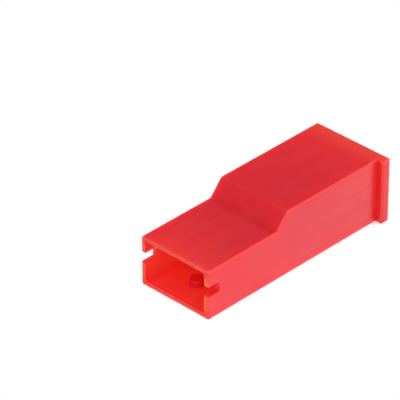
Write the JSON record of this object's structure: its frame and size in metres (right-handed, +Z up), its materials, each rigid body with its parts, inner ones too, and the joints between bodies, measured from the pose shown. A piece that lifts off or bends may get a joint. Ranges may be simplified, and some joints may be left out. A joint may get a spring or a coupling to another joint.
{
  "type": "crimp terminal housing",
  "caption": "Stepped rectangular nylon sleeve, open at both ends, that insulates a flat push-on crimp terminal, with a flange at its wire mouth.",
  "frame": {"origin": "middle of the underside, on the centre line of the body, halfway between its two ends", "axes": "+X from the mating end to the wire mouth, +Z up out of the roof, flange on the -Y side"},
  "size_m": [0.0283, 0.0111, 0.0082],
  "materials": {
    "red_nylon": "moulded red nylon, satin sheen, slightly translucent at thin edges"
  },
  "bodies": {
    "root": {"housing": "red_nylon"}
  },
  "joints": []
}
